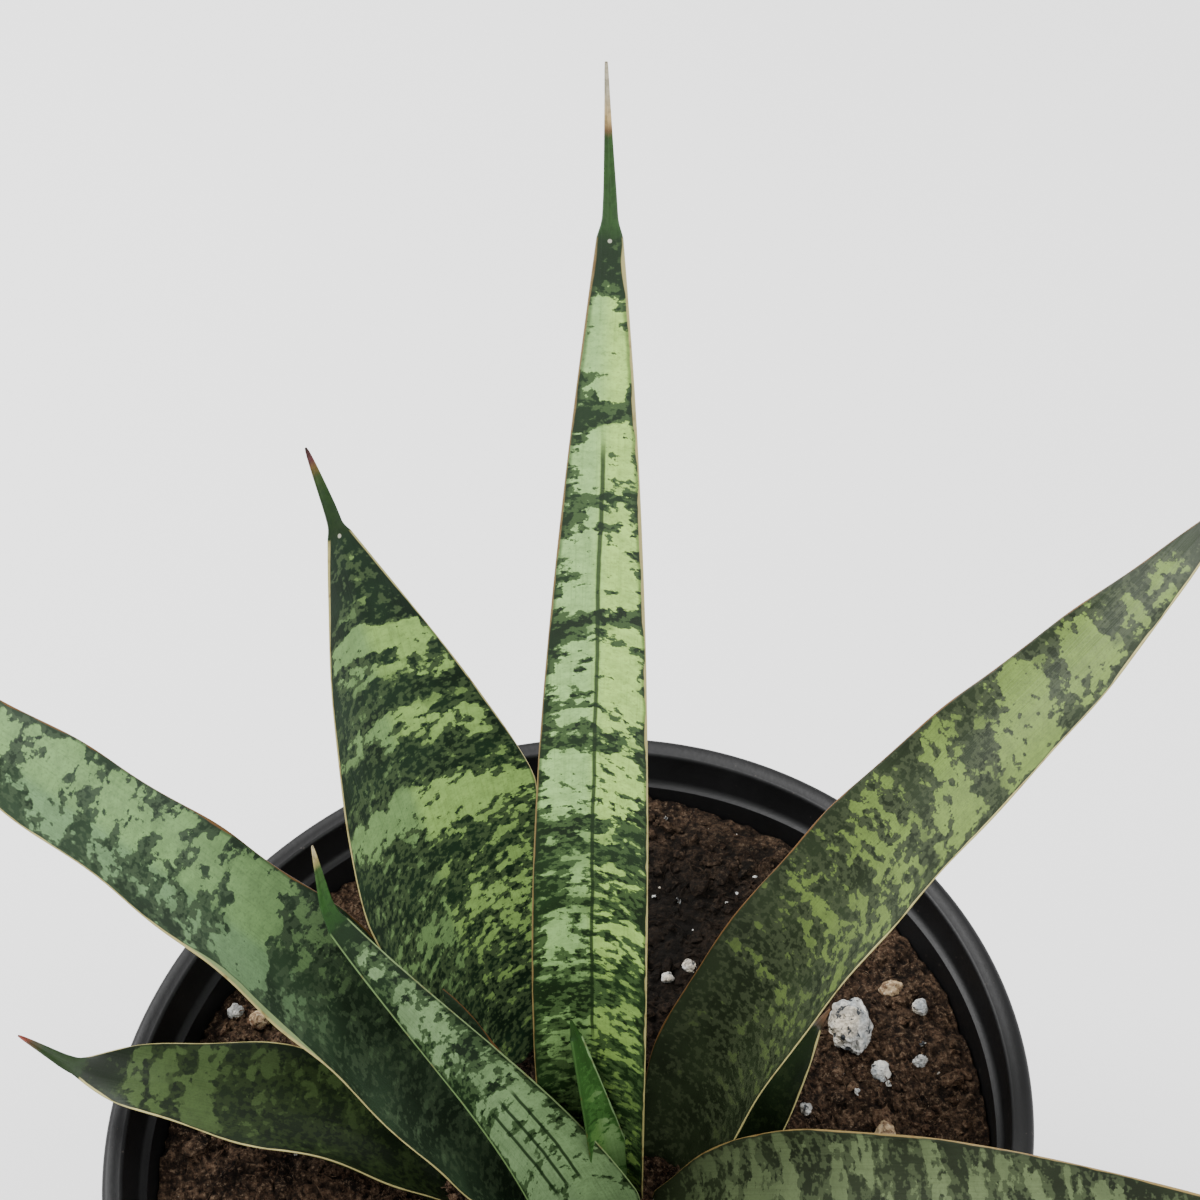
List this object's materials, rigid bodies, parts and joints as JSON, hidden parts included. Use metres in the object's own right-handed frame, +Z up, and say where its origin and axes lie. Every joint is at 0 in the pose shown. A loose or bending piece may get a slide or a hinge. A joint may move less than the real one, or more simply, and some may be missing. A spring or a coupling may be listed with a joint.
{
  "type": "potted snake plant",
  "caption": "Upright rosette of stiff banded leaves growing from peat soil in a round, tapered plastic nursery pot with a lip and drain holes.",
  "frame": {"origin": "centre of the pot's flat underside", "axes": "+Z up the pot's axis; +X to the right and -Y to the front as the plant is seen; the long leaves lean to -X and +X"},
  "size_m": [0.2824, 0.165, 0.3646],
  "materials": {
    "pot_plastic": "black satin moulded plastic",
    "potting_soil": "rough fibrous peat and coir; stone stands in for soil",
    "rhizome": "matt fleshy stem; wood stands in for plant tissue",
    "leaf_pale": "satin banded pale green; leather stands in for leaf",
    "leaf_fresh": "satin bright green; leather stands in for leaf",
    "leaf_blue_green": "satin banded blue green; leather stands in for leaf",
    "leaf_olive": "satin banded olive green; leather stands in for leaf",
    "leaf_dark": "satin mottled dark green; leather stands in for leaf",
    "perlite": "rough porous white",
    "bark": "rough tan"
  },
  "bodies": {
    "root": {"nursery_pot": "pot_plastic", "potting_soil": "potting_soil", "rhizome_with_roots": "rhizome", "leaf_tall_centre": "leaf_pale", "leaf_young_folded": "leaf_pale", "leaf_inner_spear": "leaf_fresh", "leaf_long_left": "leaf_blue_green", "leaf_long_right": "leaf_olive", "leaf_broad_rear_left": "leaf_olive", "leaf_lower_right": "leaf_dark", "leaf_low_left": "leaf_dark", "leaf_small_dark_right": "leaf_dark", "perlite_grain_large": "perlite", "perlite_grain_right": "perlite", "perlite_grain_far_right": "perlite", "perlite_grain_rim_right": "perlite", "perlite_grain_near_crown": "perlite", "perlite_grain_rear_pair_a": "perlite", "perlite_grain_rear_pair_b": "perlite", "perlite_grain_left": "perlite", "bark_chip_tan": "bark", "bark_chip_left": "bark", "bark_chip_front_right": "bark"}
  },
  "joints": []
}
